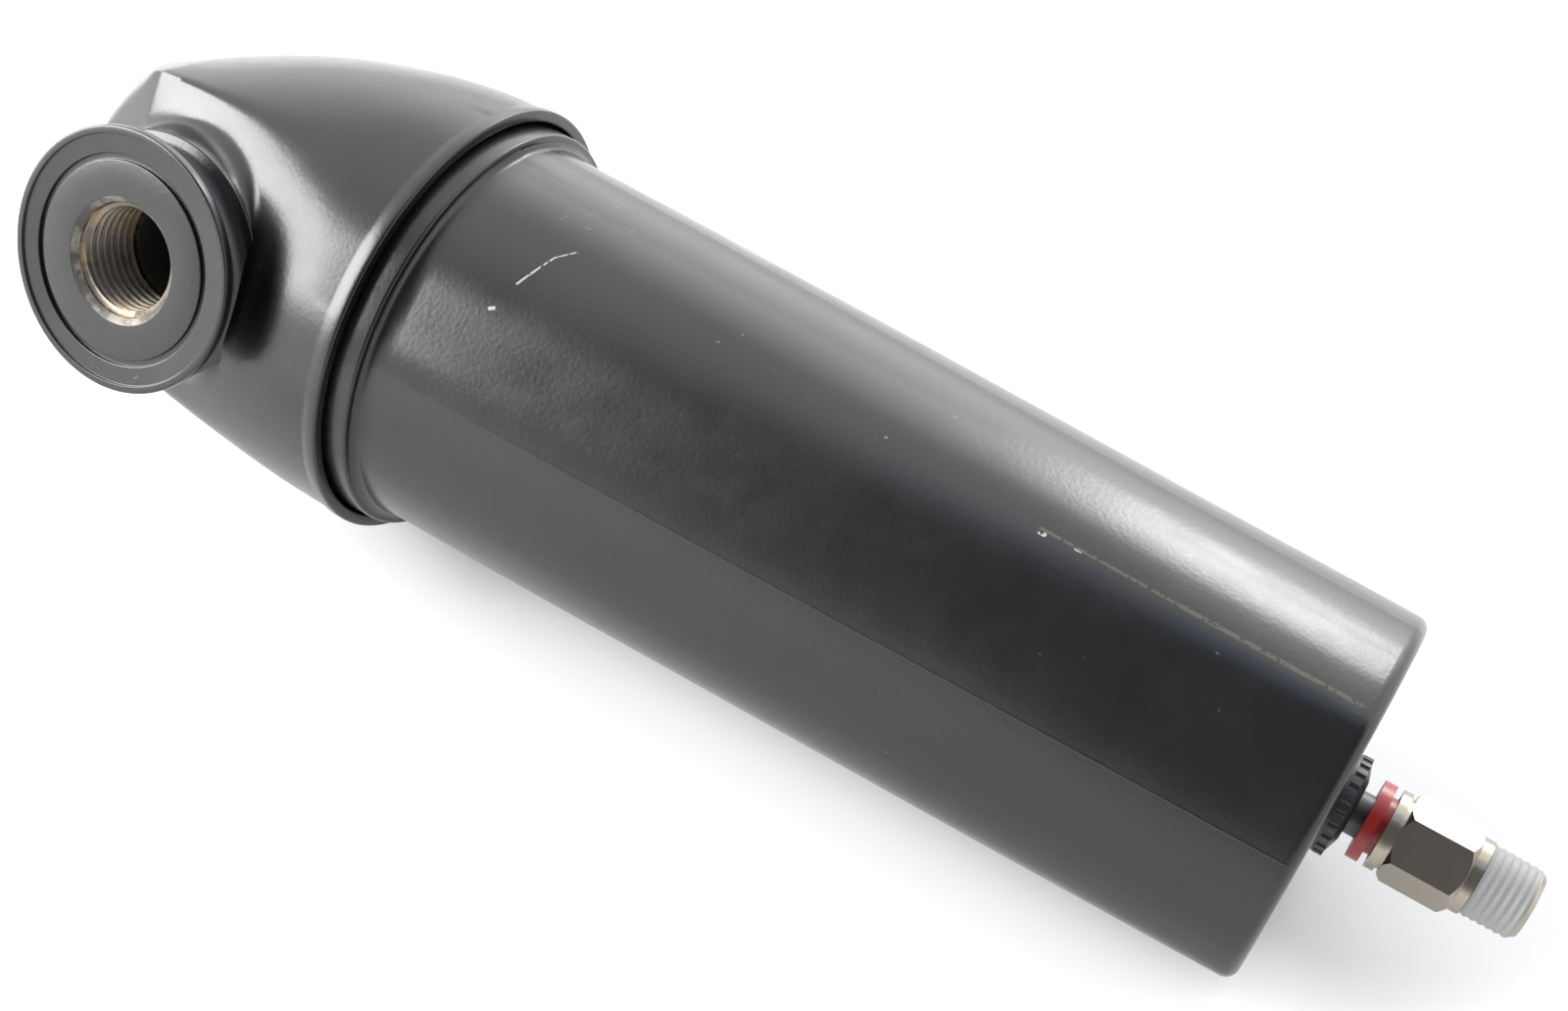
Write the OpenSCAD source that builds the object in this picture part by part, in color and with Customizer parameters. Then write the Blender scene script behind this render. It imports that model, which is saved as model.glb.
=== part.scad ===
// Compressed air filter: flanged die-cast head, screw-on bowl, coalescing element,
// float drain and push-in drain fitting.
// Frame: origin where the port axis meets the bowl axis, X along the ports, Z up, millimetres.

/* [Head] */
// distance from the bowl axis to each port face
port_face = 50; // [40:1:80]
// radius of the round skirt at the open end of the head
rim_r = 44; // [36:0.5:60]
// height of the skirt's end face
rim_z = -43; // [-60:1:-30]
// height of the flat top
head_top = 38; // [25:1:60]
// radius of curvature of the four side faces, seen from the side
side_arc = 161; // [80:1:240]
// half width across the side faces at their widest
side_half = 44.2; // [36:0.1:60]
// height where the side faces are widest
side_mid = -50; // [-80:1:-20]
// distance of the side faces' turning axis behind the bowl axis
side_bow = 86; // [40:1:160]
// radius of curvature of the dome at the corners
dome_arc = 217; // [120:1:400]

/* [Ports] */
// outer radius of the coupling flange
flange_r = 24; // [18:0.5:40]
// radius of the waist behind the flange
waist_r = 19; // [14:0.5:30]
// radius of the boss on the head
boss_r = 22.5; // [16:0.5:36]
// thread wall radius, G 1/2 major diameter over two
port_r = 10.48; // [6:0.01:20]
// radius of the chamfered mouth
mouth_r = 11.6; // [7:0.1:22]
// depth of the threaded length
port_depth = 16; // [10:1:25]
// radius of the cored passage behind the thread
passage_r = 9.2; // [5:0.1:16]

/* [Bowl] */
// height of the underside of the bowl
bowl_end = -224.2; // [-320:0.1:-120]
// radius of the collar below the head
collar_r = 41; // [34:0.5:56]
// height of the underside of the collar
collar_z = -47.5; // [-60:0.5:-40]
// radius of the round body just below the collar
body_top_r = 38.8; // [30:0.1:54]
// half width across the flats at the bottom
flat_r = 32.8; // [24:0.1:50]
// radius of the bowed flats at the bottom
flat_bow_r = 45.3; // [36:0.1:90]
// corner radius at the bottom, from the bowl axis
corner_r = 35.9; // [28:0.1:56]
// angle of the first flat about the bowl axis
bowl_turn = -1; // [-90:1:90]
// radius of the bottom edge rounding
base_round = 3; // [1:0.5:12]
// outer radius of the screwed neck
neck_r = 38; // [30:0.1:52]
// top of the screwed neck
neck_top = -19; // [-30:0.5:-10]
// radial play between neck and head
neck_gap = 0.3; // [0.1:0.05:0.6]

/* [Element] */
// outer radius of the end caps
cap_r = 26.5; // [16:0.5:32]
// outer radius of the foam sock
foam_r = 25.6; // [15:0.1:31]
// underside of the top cap
cap_z = -50; // [-60:0.5:-45]
// underside of the bottom cap
element_end = -165; // [-200:1:-100]
// radius of the socket the element plugs into
socket_r = 12; // [8:0.1:18]

/* [Drain] */
// radius of the threaded shank through the bowl
shank_r = 6.5; // [4:0.1:10]
// radius of the hose stub
stub_r = 3.9; // [2:0.05:8]
// outer radius of the knurled knob
knob_r = 9.1; // [6:0.1:16]
// number of teeth on the knob
knob_teeth = 24; // [12:1:40]
// outer radius of the float
float_r = 19; // [10:0.5:26]

/* [Fitting] */
// how far the fitting sits below its closest place on the stub
fitting_drop = 0.8; // [0:0.1:3]
// width across the flats of the fitting's hexagon
hex_af = 14; // [10:0.5:24]
// radius of the taper thread
male_r = 6.5; // [4:0.05:12]
// radius of its metal core
male_core_r = 5.95; // [3:0.05:11]
// outer radius of the release ring
ring_r = 7.1; // [4:0.1:12]

/* [Hidden] */
$fn = 96;
eps = 0.01;
black = [0.05, 0.05, 0.055];
steel = [0.62, 0.62, 0.62];
nickel = [0.70, 0.67, 0.60];
rubber = [0.03, 0.03, 0.03];
plastic = [0.08, 0.08, 0.08];

// ---------- shared shapes ----------

// ring between two radii and two heights
module ring(r_out, r_in, z0, z1) {
    difference() {
        translate([0, 0, z0]) cylinder(h = z1 - z0, r = r_out);
        translate([0, 0, z0 - 1]) cylinder(h = z1 - z0 + 2, r = r_in);
    }
}

// O-ring of a given middle radius, section radius and height
module o_ring(r_mid, r_sec, z) {
    translate([0, 0, z]) rotate_extrude() translate([r_mid, 0]) circle(r = r_sec, $fn = 32);
}

// turns a shape made along +Z so that it runs along +X
module along_x() { rotate([0, 90, 0]) children(); }

// ---------- head ----------

// one bowed side face: everything behind it
module side_body() {
    translate([-side_bow, 0, 0]) rotate_extrude($fn = 180) intersection() {
        translate([side_bow + side_half - side_arc, side_mid]) circle(r = side_arc, $fn = 360);
        translate([0, rim_z - 1]) square([side_bow + side_half, head_top - rim_z + 4]);
    }
}

// round skirt and barrelled side that round off the corners
module dome_body() {
    rotate_extrude($fn = 180) union() {
        translate([0, rim_z]) square([rim_r, 13]);
        intersection() {
            translate([rim_r - dome_arc, rim_z + 13]) circle(r = dome_arc, $fn = 360);
            translate([0, rim_z + 13 - eps]) square([rim_r, head_top - rim_z - 11 + eps]);
        }
    }
}

// sloping shoulder and crown above the barrelled side
module crown_body() {
    rotate_extrude($fn = 180) polygon([[0, rim_z - 1], [46, rim_z - 1], [46, head_top - 24.4],
        [33, head_top - 14], [28.8, head_top - 10], [24.7, head_top - 6.4], [20.3, head_top - 3],
        [16.3, head_top - 0.3], [13, head_top + 1.2], [0, head_top + 1.2]]);
}

// port with flange, waist and boss, along +X
module port_body() {
    along_x() rotate_extrude() difference() {
        union() {
            square([boss_r, port_face - 6]);
            translate([0, port_face - 6]) square([flange_r, 6]);
        }
        translate([flange_r - 0.9, port_face - 6]) circle(r = flange_r - 0.9 - waist_r, $fn = 96);
        translate([boss_r, port_face - 6 - 3]) square([3, 6]);
    }
}

// flange face relief and threaded bore, along +X
module port_cut() {
    along_x() {
        // recess inside the raised lip
        translate([0, 0, port_face - 0.5]) cylinder(h = 2, r = flange_r - 1.4);
        // groove round the centre disc
        ring(19.1, 18, port_face - 1.2, port_face);
        // chamfered mouth
        translate([0, 0, port_face - 0.5 - (mouth_r - port_r)])
            cylinder(h = mouth_r - port_r + eps, r1 = port_r, r2 = mouth_r + eps);
        // threaded length
        translate([0, 0, port_face - port_depth]) cylinder(h = port_depth, r = port_r);
    }
}

module head() {
    color(black) difference() {
        union() {
            intersection() {
                dome_body();
                crown_body();
                side_body();
                rotate([0, 0, 90]) side_body();
                rotate([0, 0, 180]) side_body();
                rotate([0, 0, 270]) side_body();
            }
            // raised round pad on the top
            translate([0, 0, head_top - 1]) cylinder(h = 3.5, r = 13);
            port_body();
            mirror([1, 0, 0]) port_body();
        }
        port_cut();
        mirror([1, 0, 0]) port_cut();
        // inlet passage to the element, outlet passage to the space round it
        translate([-port_face + port_depth - 1, 0, 0]) along_x()
            cylinder(h = port_face - port_depth + 1, r = passage_r);
        translate([20, 0, 0]) along_x() cylinder(h = port_face - port_depth - 19, r = passage_r);
        translate([25, 0, -20]) cylinder(h = 20, r = 7);
        // element socket
        translate([0, 0, -45]) cylinder(h = 45, r = socket_r);
        // space round the socket tube
        ring(33.5, 15, rim_z - 1, -14);
        translate([0, 0, rim_z - 1]) cylinder(h = 4, r = 33.5);
        // screwed bore and collar recess
        ring(neck_r + neck_gap, 30, rim_z - 1, neck_top + 1);
        ring(collar_r + 0.7, 30, rim_z - 1, rim_z + 7);
        // indicator port in the top pad, closed by the plug
        translate([0, 0, head_top - 9.5]) cylinder(h = 20, r = 6.6);
        translate([0, 0, 0]) cylinder(h = head_top, r = 3);
        translate([0, 0, head_top + 1.5]) cylinder(h = 3, r = 9.4);
    }
}

// blanking plug of the unused indicator port
module head_plug() {
    color(black) difference() {
        union() {
            translate([0, 0, head_top - 6.5]) cylinder(h = 9, r = 6.5);
            translate([0, 0, head_top + 2]) cylinder(h = 2.6, r = 9);
            translate([0, 0, head_top + 4.6 - eps]) cylinder(h = 0.8, r1 = 9, r2 = 8.2);
        }
        translate([0, 0, head_top + 0.4]) cylinder(h = 8, r = 3.5, $fn = 6);
    }
}

// flat seal under the plug
module plug_seal() { color(rubber) ring(8.6, 6.5, head_top + 1.5, head_top + 2); }

// ---------- bowl ----------

// one bowed flat: a leaning cone, axis through the bowl axis at the top
lean = flat_bow_r - flat_r;
body_h = collar_z - bowl_end;
lean_a = atan(lean / body_h);
module flat_body() {
    translate([0, 0, collar_z]) rotate([0, lean_a, 0]) translate([0, 0, -body_h - 8])
        cylinder(h = body_h + 16, r1 = flat_bow_r + 0.3, r2 = body_top_r + 0.3, $fn = 180);
}

// round body with a rounded bottom edge
module round_body() {
    zr = bowl_end + base_round;
    rotate_extrude($fn = 180) union() {
        polygon([[0, zr], [corner_r, zr], [body_top_r, collar_z], [0, collar_z]]);
        translate([0, bowl_end]) square([corner_r - base_round, base_round + eps]);
        translate([corner_r - base_round, zr]) circle(r = base_round, $fn = 64);
    }
}

module bowl() {
    color(black) rotate([0, 0, bowl_turn]) difference() {
        union() {
            intersection() {
                round_body();
                flat_body();
                rotate([0, 0, 90]) flat_body();
                rotate([0, 0, 180]) flat_body();
                rotate([0, 0, 270]) flat_body();
            }
            // collar and screwed neck
            translate([0, 0, collar_z - eps]) cylinder(h = rim_z + 6.2 - collar_z + eps, r = collar_r);
            translate([0, 0, collar_z]) cylinder(h = neck_top - collar_z, r = neck_r);
        }
        // hollow
        translate([0, 0, -50]) cylinder(h = 60, r = 34);
        translate([0, 0, bowl_end + 9]) cylinder(h = -50 - bowl_end - 9 + eps, r1 = 29, r2 = 34);
        translate([0, 0, bowl_end + 4.3]) cylinder(h = 4.8, r1 = 24.5, r2 = 29);
        // seal groove near the top of the neck
        ring(neck_r + 1, 36, neck_top - 4.2, neck_top - 1.6);
        // drain hole
        translate([0, 0, bowl_end - 1]) cylinder(h = 8, r = shank_r + 0.1);
    }
}

// bowl O-ring in the neck groove
module bowl_seal() { color(rubber) o_ring(37.15, 0.85, neck_top - 2.9); }

// ---------- filter element ----------

module element_top_cap() {
    color(plastic) difference() {
        union() {
            translate([0, 0, cap_z]) cylinder(h = 4, r = cap_r);
            translate([0, 0, cap_z + 4 - eps]) cylinder(h = 4, r1 = 17, r2 = 13);
            translate([0, 0, cap_z]) cylinder(h = 28, r = socket_r - 0.06);
            // skirt over the sleeve
            ring(cap_r, foam_r, cap_z - 5, cap_z + eps);
        }
        translate([0, 0, cap_z - 6]) cylinder(h = 40, r = 8.6);
        for (z = [cap_z + 16, cap_z + 22]) ring(socket_r + 1, 10.4, z - 0.9, z + 0.9);
    }
}

// two O-rings on the element's spigot
module element_seals() {
    color(rubber) for (z = [cap_z + 16, cap_z + 22]) o_ring(11.15, 0.75, z);
}

// rows of round holes through a thin tube
module hole_rows(r, rows, z0, dz, n) {
    for (i = [0:rows - 1]) for (k = [0:n - 1])
        translate([0, 0, z0 + i * dz]) rotate([0, 0, k * 180 / n + (i % 2) * 90 / n])
            rotate([90, 0, 0]) cylinder(h = 80, r = r, center = true, $fn = 16);
}

element_h = cap_z - element_end - 4;

// inner perforated steel tube
module element_core() {
    color(steel) difference() {
        ring(9.4, 8.6, element_end + 4, cap_z);
        hole_rows(1.9, 9, element_end + 12, 11.5, 2);
    }
}

// layered fibre medium
module element_media() { color([0.93, 0.92, 0.86]) ring(22.6, 9.4, element_end + 4, cap_z); }

// outer perforated steel tube
module element_sleeve() {
    color(steel) difference() {
        ring(23.4, 22.6, element_end + 4, cap_z);
        hole_rows(2.4, 9, element_end + 12, 11.5, 4);
    }
}

// foam drainage sock
module element_foam() { color([0.80, 0.10, 0.09]) ring(foam_r, 23.4, element_end + 4, cap_z); }

module element_bottom_cap() {
    color(plastic) union() {
        translate([0, 0, element_end]) cylinder(h = 4, r = cap_r);
        ring(cap_r, foam_r, element_end + 4 - eps, element_end + 9);
        translate([0, 0, element_end + 4 - eps]) cylinder(h = 3, r = 8.6);
    }
}

// ---------- float drain ----------

floor_z = bowl_end + 4.3;
tower_top = -190;
pin_x = 8;
pin_z = -186;

module drain_body() {
    color(plastic) difference() {
        union() {
            // inner flange on the gasket
            translate([0, 0, floor_z + 1.2]) cylinder(h = 2, r = 11);
            translate([0, 0, floor_z + 3.2 - eps]) cylinder(h = 0.9, r1 = 11, r2 = 8);
            // shank through the bowl and stub below it
            translate([0, 0, -226.2]) cylinder(h = floor_z + 2 + 226.2, r = shank_r);
            translate([0, 0, -243.5]) cylinder(h = 18, r = stub_r);
            // lip that keeps the knob on
            translate([0, 0, -225.6]) cylinder(h = 0.6, r = 6.9);
            // guide tower with the valve seat
            translate([0, 0, floor_z + 3]) cylinder(h = tower_top - floor_z - 3, r = 4.6);
            translate([0, 0, tower_top - eps]) cylinder(h = 0.8, r1 = 2.6, r2 = 1.9);
            // lever bracket: an arm and two ears
            translate([0, -4, tower_top - 3]) cube([pin_x + 2.5, 8, 3]);
            for (s = [-1, 1]) translate([pin_x - 2.5, s * 3 - 1, tower_top - 1])
                cube([5, 2, pin_z - tower_top + 3.2]);
        }
        // drain bore
        translate([0, 0, -245]) cylinder(h = 60, r = 1.2);
        // side inlet holes at the foot of the tower
        translate([0, 0, floor_z + 6.8]) rotate([90, 0, 0]) cylinder(h = 20, r = 1, center = true);
        // bracket holes for the lever pin
        translate([pin_x, 0, pin_z]) rotate([90, 0, 0]) cylinder(h = 20, r = 1, center = true);
    }
}

module drain_gasket() { color(rubber) ring(10.5, shank_r + 0.05, floor_z, floor_z + 1.2); }

// knurled knob that opens the drain by hand
module knob_teeth_2d() {
    difference() {
        circle(r = knob_r);
        for (i = [0:knob_teeth - 1]) rotate(i * 360 / knob_teeth)
            translate([knob_r + 0.25, 0]) circle(r = 0.75, $fn = 16);
    }
}
module drain_knob() {
    color(plastic) difference() {
        union() {
            translate([0, 0, -226.8]) linear_extrude(height = 1.7) knob_teeth_2d();
            translate([0, 0, -225.1 - eps]) cylinder(h = 0.7, r = knob_r - 0.1);
            translate([0, 0, -227.8]) cylinder(h = 1.1, r1 = 5.4, r2 = 8.8);
        }
        // bore on the shank with a groove for its lip, and the stub's hole in the face
        translate([0, 0, -226.3]) cylinder(h = 10, r = shank_r + 0.06);
        translate([0, 0, -225.7]) cylinder(h = 0.8, r = 6.98);
        translate([0, 0, -230]) cylinder(h = 10, r = stub_r + 0.06);
    }
}

module float() {
    color([0.86, 0.84, 0.78]) difference() {
        union() {
            translate([0, 0, -213.5]) cylinder(h = 1.5, r1 = float_r - 1.5, r2 = float_r);
            translate([0, 0, -212 - eps]) cylinder(h = 15, r = float_r);
            translate([0, 0, -197 - eps]) cylinder(h = 1.5, r1 = float_r, r2 = float_r - 1.5);
            // pusher under the lever's end
            translate([-13, 0, -196]) cylinder(h = 8.5, r = 1.5, $fn = 32);
        }
        translate([0, 0, -214]) cylinder(h = 20, r = 5);
        // room for the bracket when the float is up
        translate([0, -5.5, -201.5]) cube([pin_x + 4.5, 11, 8]);
    }
}

module float_lever() {
    color(steel) difference() {
        union() {
            translate([pin_x, 0, pin_z]) rotate([90, 0, 0]) cylinder(h = 3.2, r = 2, center = true);
            translate([-15.5, -1.6, pin_z - 1]) cube([pin_x + 15.5, 3.2, 1.4]);
        }
        translate([pin_x, 0, pin_z]) rotate([90, 0, 0]) cylinder(h = 8, r = 1.05, center = true);
    }
}

module lever_pin() {
    color(steel) translate([pin_x, 0, pin_z]) rotate([90, 0, 0]) cylinder(h = 9, r = 1, center = true);
}

// valve plug on the seat, with a loop round the lever
module valve_plug() {
    color(rubber) union() {
        translate([0, 0, tower_top + 1.1]) cylinder(h = 0.8, r = 2.4, $fn = 48);
        for (s = [-1, 1]) translate([-1.2, s * 2.4 - 0.4, tower_top + 1.7]) cube([2.4, 0.8, 5.1]);
        translate([-1.2, -2.8, tower_top + 6]) cube([2.4, 5.6, 0.8]);
    }
}

// ---------- push-in fitting ----------

hex_r = hex_af / 2 / cos(30);

module fitting_body() {
    color(nickel) translate([0, 0, -fitting_drop]) difference() {
        union() {
            // front collars with a groove between them
            ring(7.2, 5, -234.1, -232.5);
            ring(6.5, 5, -235, -234.1 + eps);
            // hexagon with both ends turned
            intersection() {
                translate([0, 0, -246.8]) rotate([0, 0, -11]) cylinder(h = 12, r = hex_r, $fn = 6);
                rotate_extrude() polygon([[0, -246.8], [6.9, -246.8], [8.3, -245.6], [8.3, -236],
                    [7.2, -234.8], [0, -234.8]]);
            }
            // nose ring and thread
            translate([0, 0, -248.6]) cylinder(h = 1.8 + eps, r = 6.7);
            translate([0, 0, -257]) cylinder(h = 8.5, r = male_core_r);
            translate([0, 0, -257.8]) cylinder(h = 0.8 + eps, r1 = 5.4, r2 = male_core_r);
        }
        // tube bore, seal groove, release ring room and through bore
        translate([0, 0, -244.5]) cylinder(h = 20, r = stub_r + 0.06);
        translate([0, 0, -239.6]) cylinder(h = 20, r = 6);
        translate([0, 0, -260]) cylinder(h = 20, r = 3);
    }
}

// white sealant on the taper thread
module thread_sealant() {
    color([0.93, 0.93, 0.91]) translate([0, 0, -fitting_drop]) ring(male_r, male_core_r, -256.9, -248.7);
}

module release_ring() {
    color([0.78, 0.06, 0.05]) translate([0, 0, -fitting_drop]) union() {
        ring(ring_r, stub_r + 0.35, -231.3, -229.2);
        ring(5.2, stub_r + 0.35, -236, -231.3 + eps);
    }
}

// gripping collet round the tube
module fitting_collet() {
    color(steel) translate([0, 0, -fitting_drop]) ring(5.95, 5.55, -237.5, -234.2);
}

module fitting_seal() { color(rubber) o_ring(5.1, 0.88, -238.6 - fitting_drop); }

head();
head_plug();
plug_seal();
bowl();
bowl_seal();
element_top_cap();
element_seals();
element_core();
element_media();
element_sleeve();
element_foam();
element_bottom_cap();
drain_body();
drain_gasket();
drain_knob();
float();
float_lever();
lever_pin();
valve_plug();
fitting_body();
thread_sealant();
release_ring();
fitting_collet();
fitting_seal();
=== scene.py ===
import math
import bpy
import numpy as np
from mathutils import Matrix, Vector


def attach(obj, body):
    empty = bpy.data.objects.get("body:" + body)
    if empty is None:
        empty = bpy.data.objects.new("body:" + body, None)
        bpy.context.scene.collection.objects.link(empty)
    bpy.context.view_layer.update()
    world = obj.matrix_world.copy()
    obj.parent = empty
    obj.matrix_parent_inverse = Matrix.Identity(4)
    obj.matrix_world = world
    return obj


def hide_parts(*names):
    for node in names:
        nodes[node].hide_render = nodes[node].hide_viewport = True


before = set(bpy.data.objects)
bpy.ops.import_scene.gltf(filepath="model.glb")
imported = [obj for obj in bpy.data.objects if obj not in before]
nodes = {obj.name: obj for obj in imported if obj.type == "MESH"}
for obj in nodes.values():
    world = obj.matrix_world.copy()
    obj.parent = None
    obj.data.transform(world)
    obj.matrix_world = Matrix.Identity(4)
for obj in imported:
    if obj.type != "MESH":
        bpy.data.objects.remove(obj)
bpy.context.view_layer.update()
MM = 0.001

# ------------------------------------------------------------------ camera
cam_data = bpy.data.cameras.new("camera")
cam_data.sensor_width = 36.0
cam_data.sensor_fit = "HORIZONTAL"
cam_data.lens = 47.153
cam_data.shift_x = 0.05
cam_data.shift_y = 0.01625
cam_data.clip_start = 0.01
cam_data.clip_end = 20.0
cam = bpy.data.objects.new("camera", cam_data)
bpy.context.scene.collection.objects.link(cam)
right = Vector((0.4433537, -0.3321931, -0.8325174))
down = Vector((-0.2374316, 0.8520885, -0.4664456))
ahead = Vector((0.8643285, 0.4044664, 0.2989035))
eye = Vector((-0.3308618, -0.1416253, -0.2185524))
m = Matrix((right, -down, -ahead)).transposed().to_4x4()
m.translation = eye
cam.matrix_world = m
bpy.context.scene.camera = cam
bpy.context.scene.view_settings.view_transform = "Standard"
bpy.context.scene.view_settings.look = "None"


# ------------------------------------------------------------------ mesh helpers
def make_object(name, verts, faces, mats, face_mats=None, sharp=32.0):
    me = bpy.data.meshes.new(name)
    me.from_pydata([tuple(v) for v in verts], [], faces)
    me.validate()
    for mat in mats:
        me.materials.append(mat)
    if face_mats is not None:
        me.polygons.foreach_set("material_index", np.asarray(face_mats, np.int32))
    me.polygons.foreach_set("use_smooth", [True] * len(me.polygons))
    me.set_sharp_from_angle(angle=math.radians(sharp))
    me.update()
    ob = bpy.data.objects.new(name, me)
    bpy.context.scene.collection.objects.link(ob)
    return ob


def rings_mesh(rings, closed=False):
    """rings: (rows, around, 3) in mm. Returns vertices in metres and quads, which face outward
    when the rows run up the outside."""
    rows, n = rings.shape[:2]
    verts = rings.reshape(-1, 3) * MM
    faces = []
    last = rows if closed else rows - 1
    for j in range(last):
        a = j * n
        b = ((j + 1) % rows) * n
        for i in range(n):
            k = (i + 1) % n
            faces.append((a + i, a + k, b + k, b + i))
    return verts, faces


def rounded(points, radius, steps=4):
    """Polyline with its corners rounded. points: (x, y) or (x, y, r)."""
    out = []
    count = len(points)
    for i, p in enumerate(points):
        r = p[2] if len(p) > 2 else radius
        if i in (0, count - 1) or r <= 0:
            out.append((p[0], p[1]))
            continue
        c = Vector(p[:2])
        a = Vector(points[i - 1][:2]) - c
        b = Vector(points[i + 1][:2]) - c
        if a.length < 1e-6 or b.length < 1e-6:
            out.append((p[0], p[1]))
            continue
        turn = math.pi - a.angle(b)
        if turn < 0.05:
            out.append((p[0], p[1]))
            continue
        d = min(r * math.tan(turn / 2), 0.45 * a.length, 0.45 * b.length)
        p0 = c + a.normalized() * d
        p2 = c + b.normalized() * d
        for s in range(steps + 1):
            t = s / steps
            q = p0 * (1 - t) ** 2 + c * 2 * t * (1 - t) + p2 * t ** 2
            out.append((q.x, q.y))
    return out


def revolve_rings(profile, n=128):
    """profile: (r, h) points. Rings round +Z."""
    th = np.linspace(0, 2 * math.pi, n, endpoint=False)
    return np.array([np.stack([r * np.cos(th), r * np.sin(th), np.full(n, h)], 1) for r, h in profile])


def to_x(rings, side):
    """Turns rings made round +Z so that they run along +X (side 1) or -X (side -1)."""
    out = np.empty_like(rings)
    out[..., 0] = rings[..., 2] * side
    out[..., 1] = rings[..., 1] * side
    out[..., 2] = rings[..., 0]
    return out


def smooth_min(a, b, k):
    h = np.maximum(k - np.abs(a - b), 0.0) / k
    return np.minimum(a, b) - h * h * k * 0.25


def wobble(th, z, seed, size):
    """Slow, small unevenness of a casting, in mm."""
    return size * (np.sin(3 * th + 0.031 * z + seed) * np.sin(0.043 * z + 1.7 * seed)
                   + 0.6 * np.sin(7 * th - 0.052 * z + 2.3 * seed) * np.cos(0.071 * z + seed))


# ------------------------------------------------------------------ materials
def new_mat(name):
    mat = bpy.data.materials.new(name)
    mat.use_nodes = True
    nt = mat.node_tree
    return mat, nt, nt.nodes["Principled BSDF"]


def add(nt, kind, **kw):
    node = nt.nodes.new(kind)
    for k, v in kw.items():
        setattr(node, k, v)
    return node


def ramp(nt, src, stops):
    node = nt.nodes.new("ShaderNodeValToRGB")
    cr = node.color_ramp
    while len(cr.elements) < len(stops):
        cr.elements.new(0.5)
    for e, (pos, col) in zip(cr.elements, stops):
        e.position = pos
        e.color = col if len(col) == 4 else (*col, 1)
    nt.links.new(src, node.inputs[0])
    return node.outputs[0]


def noise_tex(nt, coord, scale, detail=2.0, rough=0.5):
    node = nt.nodes.new("ShaderNodeTexNoise")
    node.inputs["Scale"].default_value = scale
    node.inputs["Detail"].default_value = detail
    node.inputs["Roughness"].default_value = rough
    nt.links.new(coord, node.inputs["Vector"])
    return node.outputs["Fac"]


def math_node(nt, op, a, b=None, c=None, clamp=False):
    node = nt.nodes.new("ShaderNodeMath")
    node.operation = op
    node.use_clamp = clamp
    for i, v in enumerate((a, b, c)):
        if v is None:
            continue
        if isinstance(v, (int, float)):
            node.inputs[i].default_value = v
        else:
            nt.links.new(v, node.inputs[i])
    return node.outputs[0]


def mix_col(nt, fac, a, b):
    node = nt.nodes.new("ShaderNodeMix")
    node.data_type = "RGBA"
    nt.links.new(fac, node.inputs[0])
    for sock, v in ((node.inputs[6], a), (node.inputs[7], b)):
        if isinstance(v, tuple):
            sock.default_value = v if len(v) == 4 else (*v, 1)
        else:
            nt.links.new(v, sock)
    return node.outputs[2]


def bump(nt, height, strength, distance, normal=None):
    node = nt.nodes.new("ShaderNodeBump")
    node.inputs["Strength"].default_value = strength
    node.inputs["Distance"].default_value = distance
    nt.links.new(height, node.inputs["Height"])
    if normal is not None:
        nt.links.new(normal, node.inputs["Normal"])
    return node.outputs[0]


def segment_mask(nt, coord, a, b, width):
    """1 on a thin line from a to b in object space (metres), 0 away from it."""
    a, b = Vector(a), Vector(b)
    d = b - a
    sub = add(nt, "ShaderNodeVectorMath", operation="SUBTRACT")
    nt.links.new(coord, sub.inputs[0])
    sub.inputs[1].default_value = a
    dot = add(nt, "ShaderNodeVectorMath", operation="DOT_PRODUCT")
    nt.links.new(sub.outputs[0], dot.inputs[0])
    dot.inputs[1].default_value = d / d.length_squared
    t = math_node(nt, "MINIMUM", math_node(nt, "MAXIMUM", dot.outputs["Value"], 0.0), 1.0)
    scale = add(nt, "ShaderNodeVectorMath", operation="SCALE")
    scale.inputs[0].default_value = d
    nt.links.new(t, scale.inputs[3])
    diff = add(nt, "ShaderNodeVectorMath", operation="SUBTRACT")
    nt.links.new(sub.outputs[0], diff.inputs[0])
    nt.links.new(scale.outputs[0], diff.inputs[1])
    length = add(nt, "ShaderNodeVectorMath", operation="LENGTH")
    nt.links.new(diff.outputs[0], length.inputs[0])
    return math_node(nt, "LESS_THAN", length.outputs["Value"], width)


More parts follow.
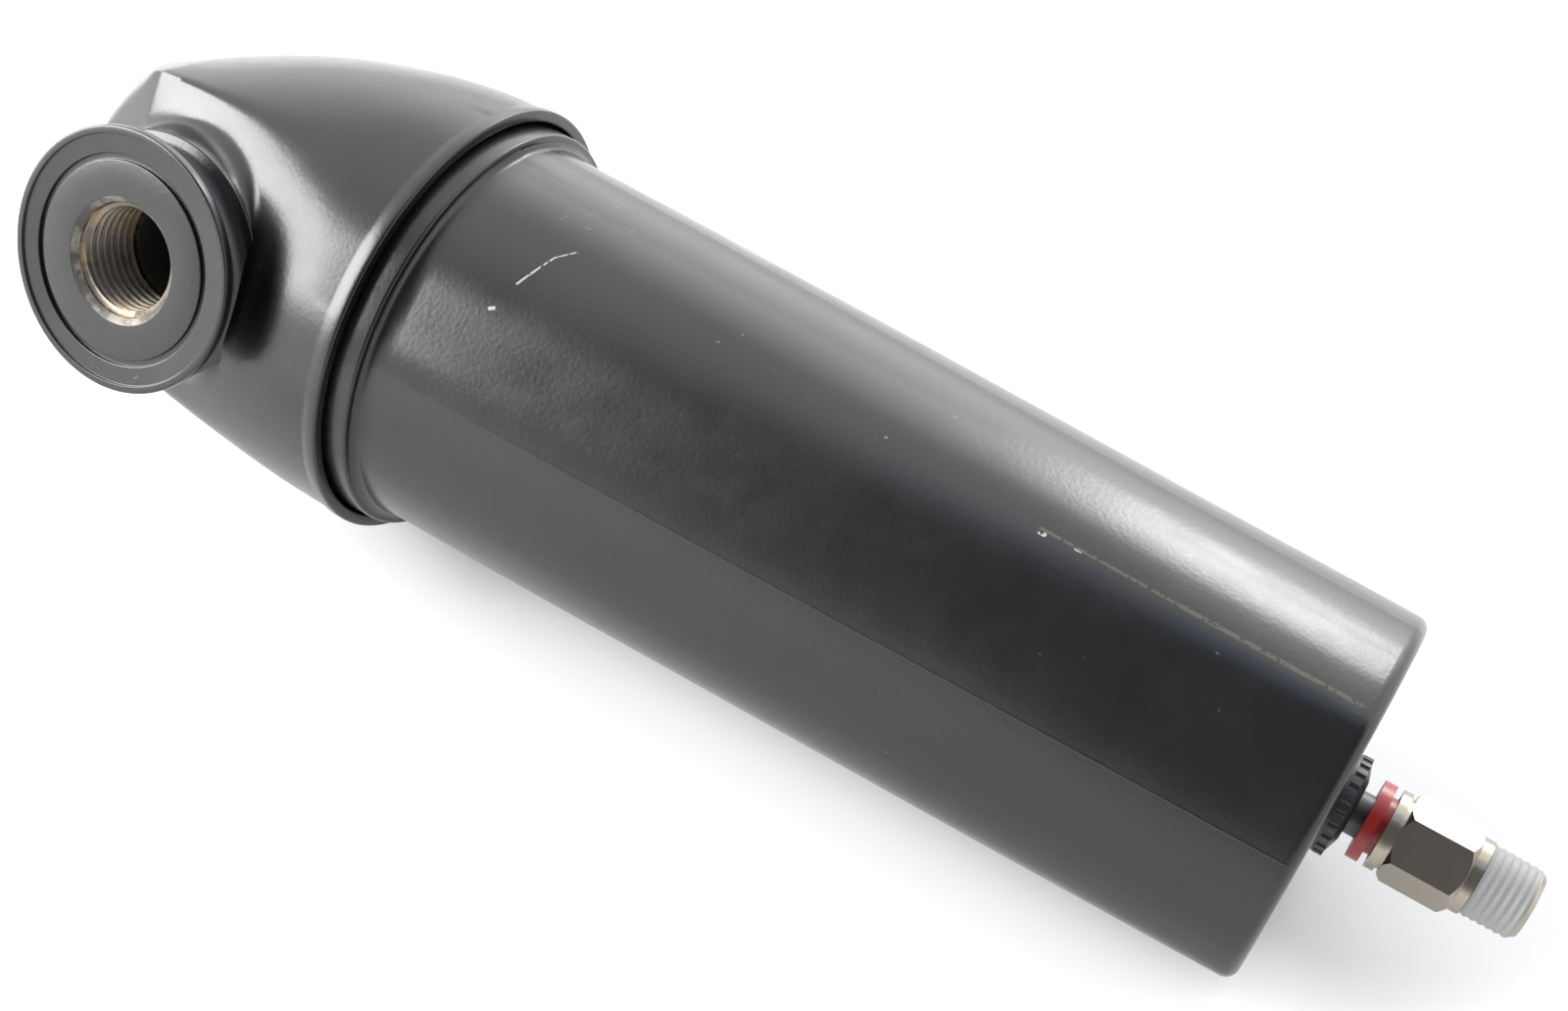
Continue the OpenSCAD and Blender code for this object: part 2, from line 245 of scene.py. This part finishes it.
def black_paint(name, base=0.0045, marks=()):
    mat, nt, bsdf = new_mat(name)
    coord = add(nt, "ShaderNodeTexCoord").outputs["Object"]
    # colour: deep black with faint dusty patches
    dust = noise_tex(nt, coord, 42.0, 6.0, 0.62)
    fine = noise_tex(nt, coord, 900.0, 3.0, 0.6)
    haze = math_node(nt, "MULTIPLY", ramp(nt, dust, [(0.45, (0, 0, 0)), (0.75, (1, 1, 1))]), fine)
    col = mix_col(nt, haze, (base, base, base * 1.08), (base * 1.9, base * 1.9, base * 2.0))
    specks = ramp(nt, noise_tex(nt, coord, 620.0, 2.0, 0.5), [(0.745, (0, 0, 0)), (0.77, (1, 1, 1))])
    spots = ramp(nt, noise_tex(nt, coord, 60.0, 2.0, 0.5), [(0.56, (0, 0, 0)), (0.66, (1, 1, 1))])
    speck = math_node(nt, "MULTIPLY", specks, spots)
    col = mix_col(nt, math_node(nt, "MULTIPLY", speck, 0.35), col, (0.22, 0.21, 0.19))
    for a, b, width, tint in marks:
        line = segment_mask(nt, coord, a, b, width)
        broken = ramp(nt, noise_tex(nt, coord, 1400.0, 2.0, 0.5), [(0.38, (0, 0, 0)), (0.46, (1, 1, 1))])
        col = mix_col(nt, math_node(nt, "MULTIPLY", line, broken), col, tint)
    nt.links.new(col, bsdf.inputs["Base Color"])
    cloud = noise_tex(nt, coord, 150.0, 3.0, 0.55)
    rough = math_node(nt, "ADD", math_node(nt, "MULTIPLY", dust, 0.10), 0.15)
    rough = math_node(nt, "ADD", math_node(nt, "MULTIPLY", cloud, 0.11), rough)
    nt.links.new(rough, bsdf.inputs["Roughness"])
    bsdf.inputs["Specular IOR Level"].default_value = 0.5
    # orange peel of powder coat
    peel = noise_tex(nt, coord, 1150.0, 2.0, 0.5)
    wide = noise_tex(nt, coord, 90.0, 2.0, 0.5)
    h = math_node(nt, "ADD", peel, math_node(nt, "MULTIPLY", wide, 0.8))
    nt.links.new(bump(nt, h, 0.24, 0.00010), bsdf.inputs["Normal"])
    return mat


def plain(name, colour, rough, metal=0.0, bump_scale=0.0, bump_strength=0.1, spec=0.5, vary=0.25):
    mat, nt, bsdf = new_mat(name)
    coord = add(nt, "ShaderNodeTexCoord").outputs["Object"]
    fac = noise_tex(nt, coord, 260.0, 4.0, 0.6)
    dark = tuple(c * (1 - vary) for c in colour)
    nt.links.new(mix_col(nt, fac, dark, colour), bsdf.inputs["Base Color"])
    bsdf.inputs["Metallic"].default_value = metal
    bsdf.inputs["Specular IOR Level"].default_value = spec
    r = math_node(nt, "ADD", math_node(nt, "MULTIPLY", fac, 0.12), rough - 0.06)
    nt.links.new(r, bsdf.inputs["Roughness"])
    if bump_scale:
        nt.links.new(bump(nt, noise_tex(nt, coord, bump_scale, 3.0), bump_strength, 0.0003),
                     bsdf.inputs["Normal"])
    return mat


def bare_thread(name):
    """Machined casting in the port, greyed, with old yellow sealant in places."""
    mat, nt, bsdf = new_mat(name)
    coord = add(nt, "ShaderNodeTexCoord").outputs["Object"]
    n1 = noise_tex(nt, coord, 330.0, 5.0, 0.65)
    n2 = noise_tex(nt, coord, 150.0, 4.0, 0.7)
    col = mix_col(nt, n1, (0.07, 0.058, 0.044), (0.32, 0.285, 0.24))
    stain = ramp(nt, n2, [(0.53, (0, 0, 0)), (0.62, (1, 1, 1))])
    col = mix_col(nt, math_node(nt, "MULTIPLY", stain, 0.75), col, (0.32, 0.22, 0.08))
    nt.links.new(col, bsdf.inputs["Base Color"])
    nt.links.new(math_node(nt, "SUBTRACT", 0.85, math_node(nt, "MULTIPLY", stain, 0.8), clamp=True),
                 bsdf.inputs["Metallic"])
    bsdf.inputs["Roughness"].default_value = 0.42
    nt.links.new(bump(nt, n1, 0.5, 0.0002), bsdf.inputs["Normal"])
    return mat


def mouth_edge(name):
    """Chamfer of the port: dirty paint worn through to metal in places."""
    mat, nt, bsdf = new_mat(name)
    coord = add(nt, "ShaderNodeTexCoord").outputs["Object"]
    n1 = noise_tex(nt, coord, 520.0, 5.0, 0.7)
    n2 = noise_tex(nt, coord, 170.0, 4.0, 0.65)
    col = mix_col(nt, n1, (0.018, 0.017, 0.015), (0.09, 0.082, 0.07))
    worn = ramp(nt, n2, [(0.50, (0, 0, 0)), (0.60, (1, 1, 1))])
    col = mix_col(nt, math_node(nt, "MULTIPLY", worn, 0.8), col, (0.26, 0.235, 0.20))
    nt.links.new(col, bsdf.inputs["Base Color"])
    nt.links.new(math_node(nt, "MULTIPLY", worn, 0.6), bsdf.inputs["Metallic"])
    bsdf.inputs["Roughness"].default_value = 0.5
    nt.links.new(bump(nt, n1, 0.5, 0.0002), bsdf.inputs["Normal"])
    return mat


# ------------------------------------------------------------------ shape and marks of the bowl
# heights in mm: underside of the collar and of the bowl, rim of the head, top of the neck
COLLAR_Z, END_Z, RIM_Z, NECK_TOP = -47.5, -224.2, -43.0, -19.0
FLOOR_Z = -219.9
# radii in mm: collar, screwed neck, bowl's inside at the top, drain hole
COLLAR_R, NECK_R, INSIDE_R, DRAIN_R = 41.0, 38.0, 34.0, 6.6
# angles of the first flat and of the first parting line
TURN = math.radians(-1.0)
SEAM = math.radians(1.5)


def bowl_outline(th, z):
    """Radius of the bowl's body at angle th (array) and height z, in mm."""
    t = (COLLAR_Z - z) / (COLLAR_Z - END_Z)
    r = np.full_like(th, 38.8 - 2.9 * min((COLLAR_Z - z) / 168.8, 1.0))
    e = 12.5 * t
    rs = 39.1 + 6.4 * t
    soft = 1.5 - 1.05 * t
    for k in range(4):
        ph = th - TURN - k * math.pi / 2
        s = -e * np.cos(ph) + np.sqrt(np.maximum(rs * rs - (e * np.sin(ph)) ** 2, 1.0))
        s = np.where(np.cos(ph) > 0.2, s, 99.0)
        r = smooth_min(r, s, soft)
    return r


def kink(th, k):
    """Drop of the surface away from the parting line in the middle of flat k, in mm."""
    d = np.abs((th - SEAM - k * math.pi / 2 + math.pi) % (2 * math.pi) - math.pi)
    return 0.8 * np.minimum(d, 0.35) * np.clip((0.6 - d) / 0.25, 0, 1)


def on_bowl(x, y, z):
    """Nearest point of the bowl's body to (x, y, z) in mm, along the radius, in metres."""
    th = np.array([math.atan2(y, x)])
    r = float(bowl_outline(th, z)[0] - sum(kink(th, k)[0] for k in range(4)))
    return Vector((r * math.cos(th[0]), r * math.sin(th[0]), z)) * MM


WHITE, GREY, OLIVE = (0.28, 0.27, 0.26), (0.05, 0.05, 0.05), (0.045, 0.038, 0.024)
# scratches, dents and worn edges: start, end, half width (all in mm) and tint
MARKS = [
    ((-29.4, -24, -66), (-27.2, -26.7, -67.2), 0.20, WHITE),
    ((-27.2, -26.7, -67.2), (-24, -29.4, -68.6), 0.17, WHITE),
    ((-24, -29.4, -68.6), (-21.4, -31.4, -71.2), 0.14, WHITE),
    ((-21.4, -31.4, -71.2), (-14, -35.3, -73.2), 0.12, GREY),
    ((-33.2, -19.2, -64.2), (-32.8, -19.4, -64.8), 0.35, WHITE),
    ((-17.6, -33.8, -63.9), (-15.6, -34.6, -64.3), 0.10, GREY),
    ((-14.2, -35.3, -66.4), (-12.6, -36.1, -67.2), 0.10, GREY),
    ((-8.4, -37.1, -68.4), (-6.4, -37.5, -68.8), 0.10, GREY),
    ((-16.4, -34.3, -68.4), (-16.0, -34.5, -69.6), 0.14, GREY),
    ((-11.6, -36, -74.6), (-11.2, -36, -75.4), 0.16, GREY),
    ((-15.0, -31.4, -186.4), (-14.6, -31.6, -186.8), 0.45, GREY),
    ((-16.5, -30.7, -189.7), (-16.1, -30.9, -190.1), 0.40, GREY),
    ((-8.5, -33.7, -177.9), (-8.1, -33.7, -178.3), 0.35, GREY),
    ((-24.7, -26.8, -165.2), (-24.7, -26.8, -166.0), 0.40, WHITE),
    ((-24.2, -27, -171.5), (-24.2, -27, -172.3), 0.35, WHITE),
    ((-13, -33.6, -142.0), (-13, -33.6, -142.4), 0.30, GREY),
    ((-24.1, -27.3, -165), (-24.0, -26.6, -190), 0.30, OLIVE),
    ((-24.0, -26.6, -190), (-23.8, -26.0, -221), 0.42, OLIVE),
]
marks = [(on_bowl(*a), on_bowl(*b), w * MM, tint) for a, b, w, tint in MARKS]
m_paint_bowl = black_paint("black_paint_bowl", marks=marks)
m_paint_head = black_paint("black_paint_head")
m_bare = bare_thread("bare_thread")
m_mouth = mouth_edge("mouth_edge")
# passage and cap of the bore: dark grey, partly the casting's own colour and partly painted shade for
# the depth of the bore
m_bore_shade = plain("cast_passage_painted_shade", (0.05, 0.05, 0.048), 0.6)
m_plastic = plain("black_plastic", (0.016, 0.016, 0.017), 0.42, bump_scale=700.0, spec=0.8)
m_rubber = plain("rubber", (0.012, 0.012, 0.012), 0.6)
m_steel = plain("steel", (0.50, 0.49, 0.48), 0.28, metal=1.0)
m_nickel = plain("nickel", (0.31, 0.28, 0.225), 0.24, metal=1.0, vary=0.12)
m_seal = plain("sealant", (0.27, 0.27, 0.265), 0.5, bump_scale=420.0, bump_strength=0.35, vary=0.1)
m_red = plain("red_plastic", (0.36, 0.010, 0.010), 0.30, vary=0.12)
m_fibre = plain("fibre", (0.45, 0.44, 0.39), 0.9, bump_scale=600.0)
m_foam = plain("foam", (0.28, 0.022, 0.020), 0.9, bump_scale=500.0, bump_strength=0.5)
m_float = plain("float_plastic", (0.42, 0.40, 0.35), 0.55)

for names, mat in (
    (("head", "head_plug"), m_paint_head), (("bowl",), m_paint_bowl),
    (("plug_seal", "bowl_seal", "element_seals"), m_rubber),
    (("drain_gasket", "valve_plug", "fitting_seal"), m_rubber),
    (("element_top_cap", "element_bottom_cap", "drain_body", "drain_knob"), m_plastic),
    (("element_core", "element_sleeve", "float_lever", "lever_pin", "fitting_collet"), m_steel),
    (("element_media",), m_fibre), (("element_foam",), m_foam), (("float",), m_float),
    (("fitting_body",), m_nickel), (("thread_sealant",), m_seal), (("release_ring",), m_red),
):
    for n in names:
        me = nodes[n].data
        me.materials.clear()
        me.materials.append(mat)
        me.polygons.foreach_set("use_smooth", [True] * len(me.polygons))
        me.set_sharp_from_angle(angle=math.radians(30))

# ------------------------------------------------------------------ bowl
def build_bowl():
    base = list(np.linspace(0, 2 * math.pi, 256, endpoint=False))
    for k in range(4):
        mid = (SEAM + k * math.pi / 2) % (2 * math.pi)
        base += [(mid + d) % (2 * math.pi) for d in (-0.013, -0.0085, -0.0045, 0, 0.0045, 0.0085, 0.013)]
    th = np.array(sorted(base))
    th = th[np.concatenate([[True], np.diff(th) > 0.0015])]
    cs, sn = np.cos(th), np.sin(th)
    rows = []

    def ring(r, z):
        r = np.full_like(th, r) if np.isscalar(r) else r
        rows.append(np.stack([r * cs, r * sn, np.full_like(th, z)], 1))

    # parting line: a fine raised seam with a faint step across it
    def seam(z):
        out = np.zeros_like(th)
        for k in range(4):
            d = (th - SEAM - k * math.pi / 2 + math.pi) % (2 * math.pi) - math.pi
            out += 0.05 * np.exp(-(d / 0.0042) ** 2) * (0.8 + 0.2 * math.sin(z * 0.9 + k))
            out -= kink(th, k)
        return out

    # inside, from the drain hole up to the neck
    inside = [(DRAIN_R, END_Z + 0.3), (DRAIN_R, -220.2), (6.9, FLOOR_Z), (24.0, FLOOR_Z), (26.5, -218.9),
              (28.9, -215.5), (INSIDE_R, -50), (INSIDE_R, -19.8), (34.4, -19.2), (34.8, NECK_TOP)]
    for r, z in inside:
        ring(r, z)
    # neck, seal groove, collar
    outside = [(34.8, NECK_TOP), (NECK_R, NECK_TOP, 0.5), (NECK_R, -20.6, 0.1), (36.0, -20.6, 0.1),
               (36.0, -23.2, 0.1), (NECK_R, -23.2, 0.1), (NECK_R, -36.8, 0.2), (COLLAR_R, -36.8, 0.4),
               (COLLAR_R, COLLAR_Z, 0.7), (39.6, COLLAR_Z)]
    for r, z in rounded(outside, 0.3)[1:]:
        ring(r, z)
    # small fillet from the collar into the body
    top = bowl_outline(th, COLLAR_Z - 1.4)
    for a in np.linspace(0.15, 1.0, 5):
        s = math.sin(a * math.pi / 2)
        c = 1 - math.cos(a * math.pi / 2)
        ring(39.9 + (top - 39.9) * s, COLLAR_Z - 1.4 * c)
    fillet = 2.4
    for z in np.linspace(COLLAR_Z - 2.4, END_Z + fillet + 0.01, 110):
        ring(bowl_outline(th, z) + seam(z) + wobble(th, z, 1.3, 0.035), z)
    # rounded bottom edge and underside
    for a in np.linspace(0.08, 1.0, 10):
        ang = a * math.pi / 2
        z = END_Z + fillet * (1 - math.sin(ang))
        ring(bowl_outline(th, z) + seam(z) * (1 - a) + wobble(th, z, 1.3, 0.035)
             - fillet * (1 - math.cos(ang)), z)
    edge = bowl_outline(th, END_Z) - fillet
    for f in (0.25, 0.5, 0.75):
        ring(edge * (1 - f) + 17.0 * f, END_Z)
    underside = [(17.0, END_Z), (14.5, END_Z, 0.4), (13.9, END_Z + 0.6, 0.3), (6.9, END_Z + 0.6, 0.1),
                 (DRAIN_R, END_Z + 0.9)]
    for r, z in rounded(underside, 0.2)[1:]:
        ring(r, z)
    verts, faces = rings_mesh(np.array(rows)[::-1], closed=True)
    ob = make_object("bowl_skin", verts, faces, [m_paint_bowl], sharp=40)
    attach(ob, "bowl")
    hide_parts("bowl")


build_bowl()

# ------------------------------------------------------------------ head
# in mm: height of the crown, radii of rim, boss, flange, port thread and passage, reach of the ports
CROWN_Z = 39.2
RIM_R, BOSS_R, FLANGE_R = 44.0, 22.5, 24.0
PORT_R, PASSAGE_R, PORT_FACE = 10.48, 9.2, 50.0
# arcs of the head's side and of the ports' waist
SIDE_ARC = 217.0
WAIST_ARC = 4.1
# distance from the bowl axis to the inner end of the mouth's chamfer
MOUTH_X = 48.38
# top of the bore that the bowl's neck enters
ROOF_Z = -17.9


def crown(z):
    """Radius of the sloping shoulder above the faces."""
    return float(np.interp(z, [13.6, 24.0, 28.0, 31.6, 35.0, 37.7, CROWN_Z],
                           [46.0, 33.0, 28.8, 24.7, 20.3, 16.3, 13.0]))


def barrel(z):
    """Radius of the body's round side at height z: upright to z = -30, then one arc."""
    return RIM_R - SIDE_ARC + math.sqrt(SIDE_ARC ** 2 - max(z + 30.0, 0.0) ** 2)


def half_width(z):
    """Half width across the faces at height z."""
    t = (z + 43.0) / 63.0
    return RIM_R - 2.071 * t - 13.627 * t * t


def head_outline(th, z):
    """Radius of the head at angle th (array) and height z, in mm: four faces lofted from the rim."""
    rc = barrel(z)
    zf = min(z, 18.0)
    h = barrel(zf) / math.sqrt(2.0)
    sag = max(half_width(zf) - h, 0.3)
    bow = (h * h + sag * sag) / (2.0 * sag)
    e = bow - half_width(z)
    soft = 1.7 - 1.2 * min(max((z + 43.0) / 63.0, 0.0), 1.0)
    r = np.full_like(th, rc + 0.25 * soft)
    for k in range(4):
        ph = th - k * math.pi / 2
        s = -e * np.cos(ph) + np.sqrt(np.maximum(bow * bow - (e * np.sin(ph)) ** 2, 1.0))
        s = np.where(np.cos(ph) > 0.2, s, 99.0)
        r = smooth_min(r, s, soft)
    return smooth_min(r, np.full_like(th, crown(z)), 0.9)


def head_x(y, z):
    """Distance from the bowl axis to the head's side face at (y, z)."""
    lo, hi = 1.0, 60.0
    for _ in range(40):
        mid = (lo + hi) / 2
        th = np.array([math.atan2(y, mid)])
        if math.hypot(mid, y) > head_outline(th, z)[0]:
            hi = mid
        else:
            lo = mid
    return (lo + hi) / 2


def build_head():
    n = 288
    th = np.linspace(0, 2 * math.pi, n, endpoint=False)
    cs, sn = np.cos(th), np.sin(th)
    rows = []

    def ring(r, z):
        r = np.full_like(th, r) if np.isscalar(r) else r
        rows.append(np.stack([r * cs, r * sn, np.full_like(th, z)], 1))

    # inside of the skirt, then the end face of the rim
    skirt = [(0.5, ROOF_Z), (38.3, ROOF_Z, 0.3), (38.3, -36, 0.3), (41.7, -36, 0.2), (41.7, RIM_Z, 0.5),
             (RIM_R, RIM_Z, 0.55), (RIM_R, RIM_Z + 2)]
    for r, z in rounded(skirt, 0.3):
        ring(r, z)
    for z in np.linspace(RIM_Z + 3, CROWN_Z, 130):
        ring(head_outline(th, z) + wobble(th, z, 0.4, 0.04), z)
    ring(8.0, CROWN_Z)
    verts, faces = rings_mesh(np.array(rows), closed=False)
    verts = list(map(tuple, verts))
    # close the two ends
    first = len(verts)
    verts += [(0, 0, ROOF_Z * MM), (0, 0, CROWN_Z * MM)]
    last = (len(rows) - 1) * n
    for i in range(n):
        k = (i + 1) % n
        faces.append((k, i, first))
        faces.append((last + i, last + k, first + 1))
    # open the skin where the ports pass through
    keep = []
    v = np.array(verts) / MM
    for f in faces:
        c = v[list(f)].mean(0)
        if abs(c[0]) > 20 and math.hypot(c[1], c[2]) < 16:
            continue
        keep.append(f)
    return make_object("head_skin", verts, keep, [m_paint_head], sharp=40)


def build_pad():
    outline = [(9.5, 39.4), (9.5, 40.5, 0.15), (13.0, 40.5, 0.7), (13.0, 38.4)]
    rows = revolve_rings(rounded(outline, 0.3), 128)
    verts, faces = rings_mesh(rows)
    faces = [f[::-1] for f in faces]
    seat = revolve_rings([(6.6, 36.0), (6.6, 39.4), (9.5, 39.4)], 128)
    v2, f2 = rings_mesh(seat)
    off = len(verts)
    faces += [tuple(i + off for i in f[::-1]) for f in f2]
    return make_object("head_pad", np.concatenate([verts, v2]), faces, [m_paint_head])


def port_profile():
    """Outline of a port from its mouth over the flange and the waist to the boss: (radius, distance)."""
    neck = []
    for a in np.linspace(0, 1, 15):
        # arc of the waist from the flange's back to the boss
        ang = math.asin(4.0 / WAIST_ARC) * (1 - 2 * a)
        neck.append((23.1 - WAIST_ARC * math.cos(ang), 44 + WAIST_ARC * math.sin(ang)))
    relief = PORT_FACE - 0.5
    face = [(PORT_R, MOUTH_X), (11.6, relief, 0.15), (18.0, relief, 0.2), (18.0, 48.8, 0.12),
            (19.1, 48.8, 0.12), (19.1, relief, 0.2), (22.6, relief, 0.15), (22.6, PORT_FACE, 0.15),
            (FLANGE_R, PORT_FACE, 0.4), (FLANGE_R, 48.0, 0.5), neck[2]]
    boss = [neck[-2], (BOSS_R, 39.95, 0.4), (BOSS_R, 37.0), (BOSS_R, 30.0)]
    return rounded(face, 0.2, 3) + neck[3:-1] + rounded(boss, 0.3)[1:]


def build_port(side):
    n = 160
    rows = to_x(revolve_rings(port_profile(), n), side)
    verts, faces = rings_mesh(rows)
    mats = [0] * len(faces)
    # the first row is the mouth's chamfer
    mats[:n] = [3] * n
    # bore behind the thread, closed by a cap; the cap and the passage are dark grey, painted shade for
    # the depth of the bore
    bore = [(0.3, 8), (PASSAGE_R, 8.2), (PASSAGE_R, 33.6), (9.5, 34), (PORT_R, 34), (PORT_R, MOUTH_X)]
    v2, f2 = rings_mesh(to_x(revolve_rings(bore, n), side))
    off = len(verts)
    faces += [tuple(i + off for i in f) for f in f2]
    mats += [2] * (3 * n) + [1] * (len(f2) - 3 * n)
    verts = np.concatenate([verts, v2])
    # fillet between the boss and the head's face
    width = 3.4
    strip = []
    for i in range(n):
        a = 2 * math.pi * i / n
        y, z = math.sin(a), math.cos(a)
        x0 = head_x(BOSS_R * y, BOSS_R * z)
        top = min(x0 + width, 39.4)
        foot_r = BOSS_R + width * 0.95
        fz = foot_r * z
        x1 = head_x(foot_r * y, fz)
        p0 = np.array([top, BOSS_R * y, BOSS_R * z])
        p2 = np.array([x1, foot_r * y, fz])
        c = np.array([x0, BOSS_R * y, BOSS_R * z])
        pts = []
        for t in np.linspace(0, 1, 9):
            q = p0 * (1 - t) ** 2 + c * 2 * t * (1 - t) + p2 * t ** 2
            pts.append(q)
        strip.append(pts)
    strip = np.array(strip).transpose(1, 0, 2)
    strip[..., 0] *= side
    strip[..., 1] *= side
    v3, f3 = rings_mesh(strip)
    off = len(verts)
    faces += [tuple(i + off for i in f) for f in f3]
    mats += [0] * len(f3)
    verts = np.concatenate([verts, v3])
    name = "inlet_port_skin" if side < 0 else "outlet_port_skin"
    return make_object(name, verts, faces, [m_paint_head, m_bare, m_bore_shade, m_mouth], mats, sharp=40)


def build_thread(side):
    """Internal G 1/2 thread as a real helix between the minor and the major diameter."""
    pitch, n = 1.814, 128
    xs = np.arange(34.2, 48.3, pitch / 8)
    rows = []
    for x in xs:
        th = np.linspace(0, 2 * math.pi, n, endpoint=False)
        ph = ((x / pitch) - th / (2 * math.pi)) % 1.0
        tri = np.abs(ph - 0.5) * 2
        crest = np.clip((tri - 0.12) / 0.76, 0, 1)
        crest = crest * crest * (3 - 2 * crest) * 0.5 + crest * 0.5
        r = 9.38 + 1.05 * crest
        if x > 47.6:
            r = np.full_like(r, 10.44)
        rows.append(np.stack([r * np.cos(th), r * np.sin(th), np.full(n, x)], 1))
    verts, faces = rings_mesh(to_x(np.array(rows), side))
    name = "inlet_thread_skin" if side < 0 else "outlet_thread_skin"
    ob = make_object(name, verts, faces, [m_bare], sharp=80)
    return ob


head_parts = [build_head(), build_pad()]
for side in (-1, 1):
    head_parts += [build_port(side), build_thread(side)]
for ob in head_parts:
    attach(ob, "head")
    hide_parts("head")


# ------------------------------------------------------------------ fitting thread
def build_male_thread():
    """Taper thread under white sealant."""
    pitch, n = 1.337, 96
    low, high = -257.7, -249.5
    zs = np.arange(low, high, pitch / 8)
    rows = []
    for z in zs:
        th = np.linspace(0, 2 * math.pi, n, endpoint=False)
        ph = ((z / pitch) + th / (2 * math.pi)) % 1.0
        tri = np.abs(ph - 0.5) * 2
        r = 6.05 + 0.14 * (z - low) / (high - low) + 0.30 * tri
        if z < low + 0.3:
            r = np.minimum(r, 6.12)
        rows.append(np.stack([r * np.cos(th), r * np.sin(th), np.full(n, z)], 1))
    verts, faces = rings_mesh(np.array(rows))
    ob = make_object("sealed_thread", verts, faces, [m_seal], sharp=80)
    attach(ob, "fitting")
    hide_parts("thread_sealant")


build_male_thread()

for n, w in (("fitting_body", 0.25), ("release_ring", 0.2), ("drain_knob", 0.15), ("head_plug", 0.3),
             ("drain_body", 0.2)):
    mod = nodes[n].modifiers.new("edge", "BEVEL")
    mod.width = w * MM
    mod.segments = 3
    mod.limit_method = "ANGLE"
    mod.angle_limit = math.radians(35)
    mod.harden_normals = True

# ------------------------------------------------------------------ table, world and lights
# the filter lies on a plane with this normal, touching it at this point
lean = Vector((-0.514, -0.856, 0.0558)).normalized()
touch = Vector((0.515, 0.857, 0)).normalized() * 46.4 * MM


def one_sided_table():
    """Pale table the filter lies on. It is clear from behind, to hide nothing in a back view."""
    mat = bpy.data.materials.new("table")
    mat.use_nodes = True
    nt = mat.node_tree
    nt.nodes.clear()
    out = add(nt, "ShaderNodeOutputMaterial")
    diff = add(nt, "ShaderNodeBsdfDiffuse")
    diff.inputs["Color"].default_value = (0.66, 0.66, 0.66, 1)
    glow = add(nt, "ShaderNodeEmission")
    glow.inputs["Color"].default_value = (1, 1, 1, 1)
    glow.inputs["Strength"].default_value = 0.06
    both = add(nt, "ShaderNodeAddShader")
    nt.links.new(diff.outputs[0], both.inputs[0])
    nt.links.new(glow.outputs[0], both.inputs[1])
    clear = add(nt, "ShaderNodeBsdfTransparent")
    geo = add(nt, "ShaderNodeNewGeometry")
    mix = add(nt, "ShaderNodeMixShader")
    nt.links.new(geo.outputs["Backfacing"], mix.inputs[0])
    nt.links.new(both.outputs[0], mix.inputs[1])
    nt.links.new(clear.outputs[0], mix.inputs[2])
    nt.links.new(mix.outputs[0], out.inputs[0])
    x = lean.cross(Vector((0, 0, 1))).normalized()
    y = lean.cross(x).normalized()
    size = 1.4
    along = Vector((0, 0, -0.1))
    c = touch + along - lean * along.dot(lean)
    corners = [c + x * a * size + y * b * size for a, b in ((-1, -1), (1, -1), (1, 1), (-1, 1))]
    me = bpy.data.meshes.new("table")
    me.from_pydata([tuple(p) for p in corners], [], [(0, 1, 2, 3)])
    me.materials.append(mat)
    me.update()
    if me.polygons[0].normal.dot(lean) < 0:
        me.flip_normals()
    ob = bpy.data.objects.new("table", me)
    bpy.context.scene.collection.objects.link(ob)


one_sided_table()

up, back = -down, -ahead


def aim(azimuth, height):
    """Direction from the object: azimuth from the photographer to the right, height up, in degrees."""
    a, e = math.radians(azimuth), math.radians(height)
    level = right * math.sin(a) + back * math.cos(a)
    return (level * math.cos(e) + up * math.sin(e)).normalized()


world = bpy.data.worlds.new("world")
bpy.context.scene.world = world
world.use_nodes = True
wt = world.node_tree
way = wt.nodes.new("ShaderNodeTexCoord").outputs["Generated"]


def lobe(direction, inner, outer):
    """1 within the inner angle round a direction, 0 outside the outer one, smooth between (degrees)."""
    dot = add(wt, "ShaderNodeVectorMath", operation="DOT_PRODUCT")
    wt.links.new(way, dot.inputs[0])
    dot.inputs[1].default_value = direction
    rng = add(wt, "ShaderNodeMapRange", interpolation_type="SMOOTHSTEP")
    wt.links.new(dot.outputs["Value"], rng.inputs[0])
    rng.inputs["From Min"].default_value = math.cos(math.radians(outer))
    rng.inputs["From Max"].default_value = math.cos(math.radians(inner))
    return rng.outputs[0]


# bright ceiling, brighter overhead and to the left, dark where the photographer stands
room = (2.2, 2.22, 2.25)
col = mix_col(wt, lobe(aim(126, 58), 5, 36), room, (3.9, 3.9, 3.86))
col = mix_col(wt, lobe(aim(-92, -24), 12, 38), col, (3.2, 3.2, 3.18))
col = mix_col(wt, lobe(aim(-2, -3), 28, 64), col, (0.26, 0.27, 0.295))
col = mix_col(wt, lobe(aim(12, 40), 4, 16), col, (0.90, 1.05, 1.45))
bg = wt.nodes["Background"]
wt.links.new(col, bg.inputs[0])
bg.inputs[1].default_value = 1.0


def area(name, direction, distance, size, size_y, radiance):
    """Rectangular light at a distance in metres from the middle of the filter, facing it."""
    data = bpy.data.lights.new(name, "AREA")
    data.shape = "RECTANGLE"
    data.size = size
    data.size_y = size_y
    data.energy = radiance * math.pi * size * size_y
    ob = bpy.data.objects.new(name, data)
    bpy.context.scene.collection.objects.link(ob)
    centre = Vector((0, 0, -0.11))
    ob.location = centre + direction * distance
    ob.rotation_euler = (-direction).to_track_quat("-Z", "Y").to_euler()


area("window", aim(104, 54), 1.2, 0.40, 0.28, 13)
area("side_window", aim(-68, 21), 1.2, 0.78, 0.95, 15)
